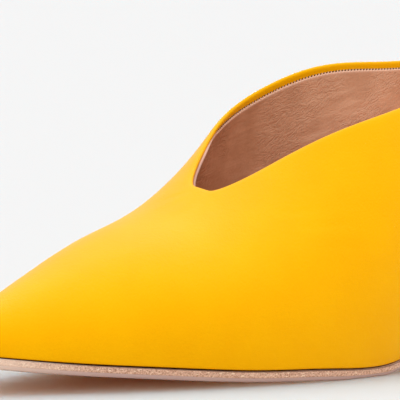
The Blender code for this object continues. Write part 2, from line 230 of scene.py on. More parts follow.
class Opening:
    # The curve at a given distance below the topline: every point of the topline moves that far
    # square to the line, in the surface, and the steps of v and u that do so solve two equations
    # in the surface's slopes. The loop runs lateral back, throat, medial back.

    def __init__(self, last, distance, samples=700):
        root = np.sqrt(1 - last.throat) * np.linspace(0, 1, samples + 1)
        v = np.minimum(last.throat + root**2, 1.0)
        girth = {side: last.top(v, side) for side in (1, -1)}
        line = np.vstack([last.surface(v, girth[1], 1)[::-1], last.surface(v, girth[-1], -1)[1:-1]])
        tangent = unit(np.roll(line, -1, axis=0) - np.roll(line, 1, axis=0))
        count = np.arange(samples + 1)
        order = {1: samples - count, -1: (samples + count) % len(line)}
        self.places = {}
        for side in (1, -1):
            along, up = last.slopes(v, girth[side], side)
            down = unit(np.cross(unit(np.cross(along, up) * side), tangent[order[side]]))
            aa, ab, bb = (along * along).sum(-1), (along * up).sum(-1), (up * up).sum(-1)
            pa, pb = (along * down).sum(-1), (up * down).sum(-1)
            stepV = (pa * bb - pb * ab) / (aa * bb - ab**2)
            stepU = (pb * aa - pa * ab) / (aa * bb - ab**2)
            stepV[-1] = stepU[0] = 0.0
            self.places[side] = (v + distance * stepV, np.minimum(girth[side] + distance * stepU, 1.0))
        self.throat = (self.places[1][0][0] + self.places[-1][0][0]) / 2
        self.last = last

    def limit(self, v, side):
        # girth of the curve at a station, read along the root of the way behind the throat
        lineV, lineU = self.places[side]
        root = np.sqrt(np.maximum(lineV - self.throat, 0.0))
        return np.interp(np.sqrt(np.maximum(v - self.throat, 0.0)), root, lineU)

    def frames(self, step, inset):
        # points at even steps round the loop at an inset, with the directions along the line,
        # out of the wall and up towards the opening, and the way from the throat
        loop, out = [], []
        for side in (1, -1):
            v, u = self.places[side]
            normal = self.last.normal(v, u, side)
            normal[-1, 0] = 0.0
            point = self.last.surface(v, u, side) - inset * unit(normal)
            loop.append(point[::-1] if side > 0 else point[1:])
            out.append(normal[::-1] if side > 0 else normal[1:])
        loop, out = np.vstack(loop), unit(np.vstack(out))
        way = wayAlong(loop)
        count = int(round(way[-1] / step))
        even = way[-1] * np.arange(count) / count
        point, normal = readAt(even, way, loop), unit(readAt(even, way, out))
        along = unit(np.roll(point, -1, axis=0) - np.roll(point, 1, axis=0))
        up = unit(np.cross(along, normal))
        middle = way[len(self.places[1][0]) - 1]
        return point, along, normal, up, even - middle


last = Last()
packedLow, packedHigh = (np.array(corner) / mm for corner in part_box("upper"))
probeV = np.linspace(0, 1, 400)[:, None] + np.zeros(60)
probeU = np.linspace(0, 0.6, 60) + np.zeros((400, 1))
probe = np.concatenate([last.surface(probeV, probeU, side) for side in (1, -1)])
shift = np.array([
    (packedLow[0] + packedHigh[0] - probe[..., 0].min() - probe[..., 0].max()) / 2,
    packedLow[1] - probe[..., 1].min(),
    0.0,
])
print("last in place, moved by", shift.round(2).tolist(), "mm")


class Mesh:
    # gathers grids of points, and quads over them, for one closed piece

    def __init__(self):
        self.points, self.places, self.faces = [], [], []

    def add(self, grid, place=None):
        # keeps a grid, with its place on the surface map, and gives the numbers of its points
        start = sum(len(p) for p in self.points)
        self.points.append(grid.reshape(-1, 3))
        spots = np.zeros((grid[..., 0].size, 2)) if place is None else place.reshape(-1, 2)
        self.places.append(spots)
        return start + np.arange(len(spots)).reshape(grid.shape[:-1])

    def skin(self, ids, flip=False):
        # quads between neighbouring rows and columns
        quads = np.stack([ids[:-1, :-1], ids[1:, :-1], ids[1:, 1:], ids[:-1, 1:]], -1).reshape(-1, 4)
        self.faces.append(quads[:, ::-1] if flip else quads)

    def lid(self, ring, flip=False):
        # closes a ring of an even number of points with strips from side to side
        half = len(ring) // 2
        self.skin(np.stack([ring[:half], ring[:half - 1:-1]]), flip)

    def tube(self, rings):
        # a stack of rings as a closed body: skin all round, and a lid at either end
        ids = self.add(rings)
        self.skin(np.hstack([ids, ids[:, :1]]))
        self.lid(ids[0], flip=True)
        self.lid(ids[-1])

    def build(self, name, material, slot, nodes=(), sharp=None):
        # one mesh at the origin, doubled points welded; edges sharper than the angle stay sharp
        points, places = np.concatenate(self.points), np.concatenate(self.places)
        faces = np.concatenate(self.faces)
        mesh = bpy.data.meshes.new(name)
        mesh.vertices.add(len(points))
        mesh.vertices.foreach_set("co", ((points + shift) * mm).ravel())
        mesh.loops.add(faces.size)
        mesh.loops.foreach_set("vertex_index", faces.ravel())
        mesh.polygons.add(len(faces))
        mesh.polygons.foreach_set("loop_start", np.arange(0, faces.size, 4))
        mesh.update(calc_edges=True)
        layer = mesh.uv_layers.new(name="surface")
        layer.uv.foreach_set("vector", places[faces.ravel()].ravel())
        work = bmesh.new()
        work.from_mesh(mesh)
        bmesh.ops.remove_doubles(work, verts=work.verts, dist=1e-7)
        bmesh.ops.dissolve_degenerate(work, edges=work.edges, dist=1e-8)
        work.to_mesh(mesh)
        work.free()
        mesh.shade_smooth()
        if sharp:
            mesh.set_sharp_from_angle(angle=math.radians(sharp))
        piece = bpy.data.objects.new(name, mesh)
        bpy.context.collection.objects.link(piece)
        mesh.materials.append(material)
        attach(piece, "root")
        if nodes:
            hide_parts(*nodes)
        print(name, "made,", len(mesh.polygons), "faces")
        return piece


noiseCells = 97              # the noise repeats after so many cells


def softNoise(x, y, seed):
    # random heights on a unit grid, blended with soft steps; about -1 to 1
    table = np.random.default_rng(seed).uniform(-1, 1, (noiseCells, noiseCells))
    cellX, cellY = np.floor(x).astype(int), np.floor(y).astype(int)
    s, t = x - cellX, y - cellY
    s, t = s * s * (3 - 2 * s), t * t * (3 - 2 * t)

    def at(i, j):
        # the random height at a corner of the cell
        return table[(cellX + i) % noiseCells, (cellY + j) % noiseCells]

    near = at(0, 0) * (1 - s) + at(1, 0) * s
    far = at(0, 1) * (1 - s) + at(1, 1) * s
    return near * (1 - t) + far * t


class Wire:
    # a number that varies over a surface: Python's operators add Math nodes to its finish

    def __init__(self, finish, socket):
        self.finish, self.socket = finish, socket

    def maths(self, operation, *others):
        # a Math node whose first input is this wire
        inputs = dict(enumerate((self, *others)))
        return self.finish.node("ShaderNodeMath", {"operation": operation}, inputs)

    def __add__(self, other):
        return self.maths("ADD", other)

    def __mul__(self, other):
        return self.maths("MULTIPLY", other)

    def __sub__(self, other):
        return self.maths("SUBTRACT", other)

    def __rsub__(self, other):
        return self.maths("MULTIPLY_ADD", -1.0, other)

    __radd__, __rmul__ = __add__, __mul__

    def between(self, low, high):
        # 0 at low, 1 at high, soft at both ends
        settings = {"interpolation_type": "SMOOTHSTEP"}
        return self.finish.node("ShaderNodeMapRange", settings, {0: self, 1: low, 2: high})


class Finish:
    # one material: node() adds every node to it, and fixed values go straight to the shader

    def __init__(self, name, fixed=None):
        self.material = bpy.data.materials.new(name)
        self.material.use_nodes = True
        self.tree = self.material.node_tree
        self.shader = self.tree.nodes["Principled BSDF"]
        for socket, value in (fixed or {}).items():
            self.shader.inputs[socket].default_value = value

    def node(self, kind, settings=None, inputs=None, output=0):
        # adds a node of this kind and gives one of its outputs
        made = self.tree.nodes.new(kind)
        for name, value in (settings or {}).items():
            setattr(made, name, value)
        for name, value in (inputs or {}).items():
            self.feed(made.inputs[name], value)
        return Wire(self, made.outputs[output])

    def feed(self, socket, value):
        # links a wire to the socket, or sets a plain value
        if isinstance(value, Wire):
            self.tree.links.new(value.socket, socket)
        elif isinstance(value, tuple) and len(value) == 3 and socket.type == "RGBA":
            socket.default_value = (*value, 1.0)
        else:
            socket.default_value = value

    def place(self, stretch=(1.0, 1.0, 1.0), turn=(0.0, 0.0, 0.0)):
        # object coordinates, turned in degrees, then stretched; features come per millimetre
        base = self.node("ShaderNodeTexCoord", output="Object")
        turned = {"Vector": base, "Rotation": tuple(math.radians(a) for a in turn)}
        moved = self.node("ShaderNodeMapping", {"vector_type": "TEXTURE"}, turned)
        scale = tuple(s / mm for s in stretch)
        return self.node("ShaderNodeVectorMath", {"operation": "MULTIPLY"}, {0: moved, 1: scale})

    def surface(self, part):
        # the piece's own map: 0 is the way along in millimetres, 1 the way across
        base = self.node("ShaderNodeUVMap", {"uv_map": "surface"})
        return self.node("ShaderNodeSeparateXYZ", inputs={0: base}, output=part)

    def noise(self, vector, size, detail=2.0, roughness=0.5):
        # layered noise, about 0 to 1, whose widest features measure size
        inputs = {"Vector": vector, "Scale": 1.0 / size, "Detail": detail, "Roughness": roughness}
        return self.node("ShaderNodeTexNoise", inputs=inputs)

    def cells(self, vector, size):
        # rounded cells about size apart: the smoothed distance to their middles
        inputs = {"Vector": vector, "Scale": 1.0 / size}
        return self.node("ShaderNodeTexVoronoi", {"feature": "SMOOTH_F1"}, inputs)

    def mix(self, factor, first, second):
        # the first colour where the factor is 0, the second where it is 1
        inputs = {0: factor, 6: first, 7: second}
        return self.node("ShaderNodeMix", {"data_type": "RGBA"}, inputs, output=2)

    def set(self, **wires):
        # feeds the shader and hands over the finished material
        names = {"colour": "Base Color", "roughness": "Roughness", "normal": "Normal"}
        for name, value in wires.items():
            self.feed(self.shader.inputs[names[name]], value)
        return self.material

    def bump(self, height, depth, normal=None):
        # raises the surface by height times depth in millimetres
        inputs = {"Height": height, "Distance": depth * mm}
        if normal:
            inputs["Normal"] = normal
        return self.node("ShaderNodeBump", inputs=inputs)


nappa = {
    "light": (0.96, 0.456, 0.0006),
    "deep": (0.94, 0.428, 0.0004),
    "mottle": 14.0,          # size of the dyed clouds, mm
    "roughness": 0.43,
    "spread": 0.10,          # how much the pores change it; the clouds half as much
    "shine": 0.13,
    "sheenTint": (1.0, 0.80, 0.14),     # the glaze is dyed too
    "grain": 0.42,           # size of the pebbles, mm
    "grainDepth": 0.045,
    "handling": 5.0,         # size of the marks of handling, which run along the shoe
    "pore": 0.18,
    "poreDepth": 0.020,
    "milled": 1.1,           # broader softness of the milled skin
    "milledDepth": 0.070,
}


def makeNappa():
    # clouded yellow dye; height is pebbles less handling marks, then milling, then pores
    sheen = {"Specular IOR Level": nappa["shine"], "Specular Tint": (*nappa["sheenTint"], 1.0)}
    finish = Finish("yellowNappa", sheen)
    skin = finish.place()
    clouds = finish.noise(skin, nappa["mottle"], 3.0)
    pebbles = finish.cells(skin, nappa["grain"])
    pores = finish.noise(skin, nappa["pore"], 3.0, 0.65)
    handling = finish.noise(finish.place((1.0, 0.35, 1.0)), nappa["handling"], 4.0)
    milled = finish.noise(skin, nappa["milled"], 3.0, 0.6)
    grain = finish.bump(pebbles * -1.0 + handling * 0.8, nappa["grainDepth"])
    grain = finish.bump(milled, nappa["milledDepth"], grain)
    half = nappa["spread"] / 2
    return finish.set(
        colour=finish.mix(
            clouds.between(0.3, 0.7) * 0.75 + pores * 0.25,
            nappa["deep"],
            nappa["light"],
        ),
        roughness=nappa["roughness"] - half + pores * nappa["spread"] - clouds * half,
        normal=finish.bump(pores, nappa["poreDepth"], grain),
    )


kid = {
    "light": (0.76, 0.41, 0.245),
    "deep": (0.46, 0.195, 0.090),
    "mottle": 9.0,           # size of the dyed clouds, mm
    "paintedShadeEnds": (-12.0, 42.0),   # painted shade: all dark and all light at these places, mm behind mid-shoe; darkest deep in the toe
    "paintedShadeShare": 0.55,    # how much of the tone is this painted shade
    "roughness": 0.55,
    "spread": 0.12,          # how much the pores change it
    "pore": 0.16,
    "poreDepth": 0.010,
    "wrinkle": 0.46,         # width of the small wrinkles, mm
    "wrinkleDepth": 0.12,
    "leans": (20.0, 44.0),   # their two directions, degrees above level
    "patch": 2.6,            # size of the patches that follow one direction or the other
    "tight": 16.0,           # size of the areas where the skin lies smooth
    "slack": 1.6,            # width of broader folds under them
    "slackDepth": 0.20,
}


def liningTone(finish, skin, fine):
    # clouds of dye and fine specks, over painted shade: a slow change from the dark front, deep in the
    # shoe, to the light back
    clouds = finish.noise(skin, kid["mottle"], 4.0).between(0.3, 0.72)
    along = finish.node("ShaderNodeSeparateXYZ", inputs={0: skin}, output=1).between(*kid["paintedShadeEnds"])
    tone = along * kid["paintedShadeShare"] + (clouds * 0.8 + fine * 0.2) * (1 - kid["paintedShadeShare"])
    return finish.mix(tone, kid["deep"], kid["light"])


def makeLining():
    # wrinkles are noise drawn out in two directions, patch by patch, weaker where it is tight
    finish = Finish("lightTanLining")
    skin = finish.place()
    low, high = (finish.place((1.0, 0.20, 1.0), (lean, 0.0, 0.0)) for lean in kid["leans"])
    slack = finish.noise(low, kid["slack"], 1.5, 0.5)
    patch = finish.noise(skin, kid["patch"], 1.0).between(0.44, 0.56)
    first = finish.noise(low, kid["wrinkle"], 1.0, 0.5)
    second = finish.noise(high, kid["wrinkle"], 1.0, 0.5)
    folds = (first * patch + second * (1 - patch)).between(0.30, 0.66)
    loose = finish.noise(skin, kid["tight"], 1.0).between(0.40, 0.58)
    pores = finish.noise(skin, kid["pore"], 3.0, 0.6)
    wrinkles = finish.bump(slack, kid["slackDepth"])
    wrinkles = finish.bump(folds * (0.25 + loose * 0.75), kid["wrinkleDepth"], wrinkles)
    return finish.set(
        colour=liningTone(finish, skin, pores),
        roughness=kid["roughness"] - kid["spread"] / 2 + pores * kid["spread"],
        normal=finish.bump(pores, kid["poreDepth"], wrinkles),
    )


cutEdge = {
    "pale": (0.90, 0.60, 0.46),
    "throatTone": (0.50, 0.28, 0.21),       # near the throat
    "throatToneEnds": (12.0, 42.0),         # way from the throat where it is all the darker colour and all pale, mm
    "roughness": 0.72,
    "fibre": 0.22,           # size of its fibres, mm
    "fibreDepth": 0.03,
}


def makeCutEdge():
    # pale where the skin was cut, darker near the throat, and lining colour below
    finish = Finish("liningCutEdge")
    skin = finish.place()
    way = finish.surface(0)
    fibres = finish.noise(skin, cutEdge["fibre"], 4.0, 0.7)
    cut = finish.mix(fibres.between(0.3, 0.7), kid["light"], cutEdge["pale"])
    cut = finish.mix(way.maths("ABSOLUTE").between(*cutEdge["throatToneEnds"]), cutEdge["throatTone"], cut)
    above = finish.surface(1).between(-0.45, 0.35)
    return finish.set(
        colour=finish.mix(above, liningTone(finish, skin, fibres), cut),
        roughness=cutEdge["roughness"] + fibres * 0.1,
        normal=finish.bump(fibres, cutEdge["fibreDepth"]),
    )


sockSkin = {
    "light": (0.72, 0.38, 0.24),
    "deep": (0.60, 0.285, 0.165),
    "mottle": 16.0,          # size of the dyed clouds, mm
    "roughness": 0.50,
    "grain": 0.5,            # size of the pebbles
    "grainDepth": 0.014,
    "pore": 0.2,
    "poreDepth": 0.010,
}


def makeSockSkin():
    # smooth sock leather: clouds of colour, pebbled grain
    finish = Finish("tanSockLeather")
    skin = finish.place()
    clouds = finish.noise(skin, sockSkin["mottle"], 4.0)
    pores = finish.noise(skin, sockSkin["pore"], 3.0, 0.6)
    pebbles = finish.cells(skin, sockSkin["grain"])
    tone = clouds.between(0.3, 0.7) * 0.8 + pores * 0.2
    grain = finish.bump(pores, sockSkin["poreDepth"])
    return finish.set(
        colour=finish.mix(tone, sockSkin["deep"], sockSkin["light"]),
        roughness=sockSkin["roughness"] + pores * 0.12,
        normal=finish.bump(pebbles * -1.0, sockSkin["grainDepth"], grain),
    )


soleFinish = {
    "fibreDark": (0.40, 0.18, 0.10),
    "fibreMid": (0.76, 0.46, 0.32),
    "fibrePale": (0.94, 0.70, 0.50),
    "seam": (0.10, 0.035, 0.012),       # painted shadow line under the upper
    "shadowLineEnd": 0.16,         # it fades over this share of the edge's height
    "bandEnd": 0.60,         # share of the edge's height that is left rough
    "bevel": (0.62, 0.41, 0.36),
    "bevelDark": (0.42, 0.25, 0.20),
    "scuffedAndLit": (8.0, 42.0),  # painted light: the edge is paler between the toe tip and here, as if more light fell on it, mm
    "toeLightShare": 0.7,
    "scuffAndLight": (0.95, 0.70, 0.54),
    "tread": (0.50, 0.30, 0.20),
    "treadDark": (0.42, 0.235, 0.15),
    "mottle": 18.0,          # clouds over the tread, mm
    "speck": 0.42,           # sizes of the cut fibre ends, dark and pale
    "fleck": 0.75,
    "fibre": 0.35,
    "roughness": 0.72,
    "polish": 0.30,          # how much smoother the bevel and the tread are
    "speckDepth": 0.16,
    "fibreDepth": 0.008,
}


def makeSole():
    # the edge's upper band is specked and rough, its bevel polished, the tread clouded
    finish = Finish("soleLeather")
    skin = finish.place()
    across = finish.surface(1)         # 0 at the top of the edge, 1 at its foot, 2 over the tread
    specks = finish.noise(skin, soleFinish["speck"], 4.0, 0.65)
    flecks = finish.noise(finish.place((1.0, 1.0, 2.6)), soleFinish["fleck"], 3.0)
    clouds = finish.noise(skin, soleFinish["mottle"], 4.0)
    fibres = finish.noise(finish.place((1.0, 0.12, 1.0)), soleFinish["fibre"], 4.0, 0.6)
    rough = finish.mix(specks.between(0.34, 0.60), soleFinish["fibreDark"], soleFinish["fibreMid"])
    rough = finish.mix(flecks.between(0.54, 0.70), rough, soleFinish["fibrePale"])
    # painted shadow: a dark band along the top of the edge, under the upper
    rough = finish.mix(1 - across.between(0.0, soleFinish["shadowLineEnd"]), rough, soleFinish["seam"])
    smooth = finish.mix(specks * 0.35, soleFinish["bevel"], soleFinish["bevelDark"])
    lower = across.between(soleFinish["bandEnd"] - 0.03, soleFinish["bandEnd"] + 0.04)
    # painted light: the edge turns paler towards the toe tip
    toeLight = (1 - finish.surface(0).between(*soleFinish["scuffedAndLit"])) * soleFinish["toeLightShare"]
    edge = finish.mix(toeLight, finish.mix(lower, rough, smooth), soleFinish["scuffAndLight"])
    treadTone = clouds.between(0.3, 0.7) * 0.6 + fibres * 0.4
    tread = finish.mix(treadTone, soleFinish["treadDark"], soleFinish["tread"])
    grain = finish.bump(fibres, soleFinish["fibreDepth"])
    return finish.set(
        colour=finish.mix(across.between(1.1, 1.6), edge, tread),
        roughness=soleFinish["roughness"] - lower * soleFinish["polish"] + fibres * 0.06,
        normal=finish.bump((1 - lower) * specks, soleFinish["speckDepth"], grain),
    )


thread = {
    "dark": (0.035, 0.014, 0.005),
    "light": (0.13, 0.055, 0.02),
    "roughness": 0.62,
    "plies": 22.0,           # how fast the twist turns along the stitch
    "plyDepth": 0.02,
    "fuzz": 0.12,            # size of the paler fibres, mm
}


def makeThread():
    # plies wound round the stitch: a sine of the way along plus the way round
    finish = Finish("brownThread")
    phase = finish.surface(0) * thread["plies"] + finish.surface(1) * (2 * math.pi)
    fuzz = finish.noise(finish.place(), thread["fuzz"], 2.0)
    return finish.set(
        colour=finish.mix(fuzz, thread["dark"], thread["light"]),
        roughness=thread["roughness"] + fuzz * 0.1,
        normal=finish.bump(phase.maths("SINE"), thread["plyDepth"]),
    )


rubber = {
    "black": (0.018, 0.015, 0.013),
    "scuffedAndLit": (0.06, 0.05, 0.045),
    "roughness": 0.55,
    "grit": 0.25,            # sizes of the grit and of the drag marks, mm
    "gritDepth": 0.02,
    "scuffAndLight": 0.8,
}


def makeRubber():
    # fine grit, paler where the tread has been dragged
    finish = Finish("blackLiftRubber")
    grit = finish.noise(finish.place(), rubber["grit"], 4.0, 0.6)
    scuffs = finish.noise(finish.place((1.0, 0.2, 1.0), (0.0, 0.0, 30.0)), rubber["scuffAndLight"], 3.0)
    return finish.set(
        colour=finish.mix(scuffs.between(0.5, 0.8), rubber["black"], rubber["scuffedAndLit"]),
        roughness=rubber["roughness"] + grit * 0.2,
        normal=finish.bump(grit, rubber["gritDepth"]),
    )


wallSizes = {
    "ahead": 116,            # stations from the toe tip to the throat
    "drawn": 0.85,           # how much they are drawn to its two ends
    "behind": 270,           # and from the throat to the back
    "crowding": 2.0,         # how much closer they lie behind the throat
    "footBlend": 5.0,        # height over which the inside turns level at the foot, mm
}
footRows = (0.0, 0.0022, 0.005, 0.009, 0.0145, 0.022, 0.034)     # close rows round the turned foot
backSeam = 200.0             # the seams of upper and lining show behind this, mm from the toe tip


class Wall:
    # Both sides of the shoe below an opening, as grids: stations along, shares of the girth up.
    # open marks the stations behind the throat.

    def __init__(self, last, distance):
        self.last, self.opening = last, Opening(last, distance)
        throat = self.opening.throat
        ahead = throat * crowded(wallSizes["ahead"], wallSizes["drawn"])
        behind = np.linspace(0, 1, wallSizes["behind"] + 1)[1:]**wallSizes["crowding"]
        self.v = np.concatenate([ahead, throat + (1 - throat) * behind])
        self.open = self.v >= throat

    def face(self, rows, inset, relief):
        # surface less inset times its normal, turned level at the foot, plus the relief
        face, normals = {}, {}
        for side in (1, -1):
            u = self.opening.limit(self.v, side)[:, None] * rows
            v = np.broadcast_to(self.v[:, None], u.shape)
            normals[side] = self.last.normal(v, u, side)
            face[side] = self.last.surface(v, u, side)
        closed = self.v <= self.opening.throat
        ridge = unit(normals[1][closed, -1] + normals[-1][closed, -1])
        for side in (1, -1):
            normals[side][closed, -1] = ridge
            normals[side][0] = (0.0, -1.0, 0.0)
            normals[side][-1, :, 0] = 0.0
            normals[side] = unit(normals[side])
            skin = face[side]
            gaps = np.linalg.norm(np.diff(skin, axis=1), axis=-1)
            reach = np.concatenate([np.zeros((len(skin), 1)), np.cumsum(gaps, axis=1)], axis=1)
            level = self.last.insideEdge(self.v, side, inset) - self.last.feather(self.v, side)
            low = np.clip(1 - reach / wallSizes["footBlend"], 0, 1)[..., None]
            raised = relief(skin, reach, side)[..., None]
            face[side] = skin + low * level[:, None] + ((low - 1) * inset + raised) * normals[side]
        middle = (face[1][closed, -1] + face[-1][closed, -1]) / 2
        face[1][closed, -1] = face[-1][closed, -1] = middle
        return face, normals

    def loop(self, grids):
        # the upper edge of both sides' grids as one closed loop: lateral back, throat, medial back
        return np.concatenate([grids[1][self.open, -1][::-1], grids[-1][self.open, -1][1:]])


def wallShell(wall, rows, insets, reliefs, rise, turns, bead):
    # two faces, joined at the foot, and over the opening by half an ellipse that stands up by rise;
    # the bead swells each of its sides by the square of the sine
    mesh = Mesh()
    (outer, normals), (inner, _) = (wall.face(*each) for each in zip(rows, insets, reliefs))
    ids = {}
    for side in (1, -1):
        ids[side] = mesh.add(outer[side]), mesh.add(inner[side])
        mesh.skin(ids[side][0], flip=side < 0)
        mesh.skin(ids[side][1], flip=side > 0)
        mesh.skin(np.stack([ids[side][0][:, 0], ids[side][1][:, 0]], 1), flip=side > 0)
    low, high, out = wall.loop(outer), wall.loop(inner), unit(wall.loop(normals))
    lowIds = wall.loop({side: ids[side][0] for side in (1, -1)})
    highIds = wall.loop({side: ids[side][1] for side in (1, -1)})
    ahead, behind = np.roll(low[:-1], -1, axis=0), np.roll(low[:-1], 1, axis=0)
    along = np.vstack([ahead - behind, (ahead - behind)[:1]])
    up = unit(np.cross(unit(along), out))
    angle = np.linspace(0, np.pi, turns + 1)[1:-1, None, None]
    swell = 1 + np.where(angle < np.pi / 2, *bead) * np.sin(angle)**2
    ring = (low + high) / 2 + (low - high) / 2 * np.cos(angle) * swell + rise * up * np.sin(angle)
    ringIds = np.vstack([lowIds, mesh.add(ring), highIds])
    mesh.skin(ringIds)
    return mesh


leather = {
    "thickness": 1.45,       # with the turned edge
    "roll": 2.2,             # height of the rounded fold
    "bead": (0.2, 0.8),      # how full it is on its outer and inner side
    "rollRows": 18,
    "footRound": 0.55,       # turn of the leather into the sole
    "rows": 58,
    "hiddenRows": 17,        # of the face under the lining
    "wave": 0.05,            # soft unevenness over the last, in three layers
    "waveLength": (15.0, 13.0, 6.0),
    "waveWidth": (14.0, 12.0, 5.0),
    "pucker": 0.05,          # gathers that run out from the throat
    "gathers": 9,
    "gatherAt": 8.0,         # where they are deepest, and how far they spread
    "gatherSpread": 7.0,
    "seamDepth": 0.22,       # closed seam down the back
    "seamWidth": 0.55,
}
# soft creases, mm: start and end from the throat (side, along, up), depth, half width
creases = [
    (1, (7.0, -9.5), (24.0, -8.0), 0.10, 0.9),
    (1, (10.0, -14.0), (31.0, -15.0), 0.08, 1.1),
    (1, (4.0, -6.0), (15.0, -4.5), 0.07, 0.7),
    (-1, (6.0, -8.0), (19.0, -6.0), 0.07, 0.9),
]


def leatherRelief(skin, reach, side):
    # unevenness, a sine round the throat for the gathers, creases with round ends and the profile
    # of a bell, the back seam, and a quarter round at the foot
    x, y, z = np.moveaxis(skin, -1, 0)
    throat = last.surface(np.array([last.throat]), np.array([1.0]), 1)[0]
    away = skin - throat
    distance = np.linalg.norm(away, axis=-1)
    length, width = leather["waveLength"], leather["waveWidth"]
    wave = softNoise(y / length[0] + 3, (x + z) / width[0], 5)
    wave += softNoise(y / length[1], (x - z) / width[1], 7)
    wave += 0.3 * softNoise(y / length[2], (x + 0.4 * z) / width[2], 8)
    wave *= leather["wave"] * ramp(y, 0.0, 12.0)
    angle = np.arctan2(away[..., 0], -away[..., 1])
    drift = softNoise(distance / leather["gatherSpread"], angle * 2 + 9, 3) * 1.5
    gather = np.sin(angle * leather["gathers"] + drift)
    gather *= np.exp(-((distance - leather["gatherAt"]) / leather["gatherSpread"])**2)
    gather *= leather["pucker"] * ramp(-away[..., 1], -2, 5)
    height = wave + gather * ramp(distance, 2.0, 6.0)
    for creaseSide, start, end, depth, half in creases:
        a, b = np.array(start), np.array(end)
        place = away[..., 1:]
        share = np.clip(((place - a) @ (b - a)) / ((b - a) @ (b - a)), 0, 1)
        off = np.linalg.norm(place - a - share[..., None] * (b - a), axis=-1)
        height -= (creaseSide == side) * depth * np.exp(-(off / half)**2) * np.sin(np.pi * share)**0.7
    seam = np.exp(-(x / leather["seamWidth"])**2) * (y > backSeam)
    height -= leather["seamDepth"] * seam
    turned = np.clip(1 - reach / leather["footRound"], 0, 1) * ramp(y, 0.0, 2.5)
    return height - leather["footRound"] * (1 - np.sqrt(1 - turned**2))


def flat(skin, reach, side):
    # no relief at all
    return 0.0 * reach


def makeUpper(material):
    # the leather wall: its outer face, its hidden inner face and the rounded fold between them
    rows = np.concatenate([footRows, np.linspace(0.05, 1, leather["rows"])])
    hidden = 1 - (1 - np.linspace(0, 1, leather["hiddenRows"]))**2
    insets, reliefs = (0.0, leather["thickness"]), (leatherRelief, flat)
    fold = leather["roll"], leather["rollRows"], leather["bead"]
    mesh = wallShell(Wall(last, leather["roll"]), (rows, hidden), insets, reliefs, *fold)
    return mesh.build("upperLeather", material, "upper_leather", ["upper"])


lining = {
    "edge": 2.95,            # its top below the topline
    "back": 1.50,            # insets of its two faces
    "face": 2.0,
    "rise": 0.25,            # height of the rounded strip between them
    "riseRows": 6,
    "rows": 88,
    "rowDraw": 0.35,         # how much the rows are drawn up to the topline
    "hiddenRows": 9,         # of the face towards the leather
    "fold": 0.16,            # height of the small folds of the stretched skin, mm
    "foldSize": (8.0, 1.9),
    "lean": 0.36,            # their slope
    "patchSize": (19.0, 13.0),
    "seamRise": 0.20,
    "seamWidth": 0.8,
}


def liningRelief(skin, reach, side):
    # long noise that rises towards the back, patchy, none at the edges; a raised seam at the back
    x, y, z = np.moveaxis(skin, -1, 0)
    lean = lining["lean"]
    length, width = lining["foldSize"]
    along, across = (y + z * lean) / length, (z - y * lean) / width
    folds = softNoise(along, across + side * 5, 12) + 0.5 * softNoise(along * 1.7, across * 1.6, 21)
    patchLength, patchWidth = lining["patchSize"]
    patches = ramp(softNoise(y / patchLength, z / patchWidth + 3, 4), -0.7, 0.4)
    below = reach[:, -1:] - reach
    inside = ramp(below, 1.0, 9.0) * ramp(reach, 1.0, 6.0) * ramp(np.abs(x), 0.0, 6.0)
    seam = np.exp(-(x / lining["seamWidth"])**2) * (y > backSeam)
    return -lining["fold"] * folds * patches * inside - lining["seamRise"] * seam


def makeLiningWall(material):
    # a thin wall inside the leather; a sine draws its rows up to the topline
    hidden = np.linspace(0, 1, lining["hiddenRows"])
    rows = np.linspace(0, 1, lining["rows"])
    rows = rows + lining["rowDraw"] * np.sin(np.pi * rows) / np.pi
    insets, reliefs = (lining["back"], lining["face"]), (flat, liningRelief)
    strip = lining["rise"], lining["riseRows"], (0.0, 0.0)
    mesh = wallShell(Wall(last, lining["edge"]), (hidden, rows), insets, reliefs, *strip)
    return mesh.build("lining", material, "lining_leather", ["upper"])


stitches = {
    "pitch": 1.0,
    "length": 0.74,
    "radius": 0.24,
    "slant": 0.16,
    "below": 2.10,           # below the topline
    "inset": 1.44,
    "start": 35.0,           # the row begins this far from the throat, where the edge turns up
    "end": 3.0,              # and stops this far short of the seam at the back
}
lip = {                      # the lining's cut edge, under the stitches
    "below": 2.56,           # below the topline
    "inset": 1.69,
    "step": 0.13,            # between its ovals
    "width": 0.34,           # half sizes: across, up and down
    "height": 0.26,
    "foot": 1.60,
    "peak": 0.48,            # how far it swells up between two stitches
    "ragged": 0.05,          # height and length of small cuts in it
    "raggedSize": 0.6,
    "sewnEnds": 3.0,         # the swelling begins over this length on both sides of the first stitch
    "climb": 2.60,           # how far it climbs the fold near the throat, where nothing is sewn
    "climbEnds": (24.0, 44.0),
    "dip": 0.16,             # share of the climb that it loses at the throat itself,
    "dipEnd": 8.0,           # and where it has all of it again
}
barTack = {                  # across the seam at the back
    "stitches": 9,
    "reach": 1.5,
    "half": 0.75,            # half its height
    "lean": 0.3,             # every second stitch leans the other way
    "thin": 0.8,             # its thread against the row's
}


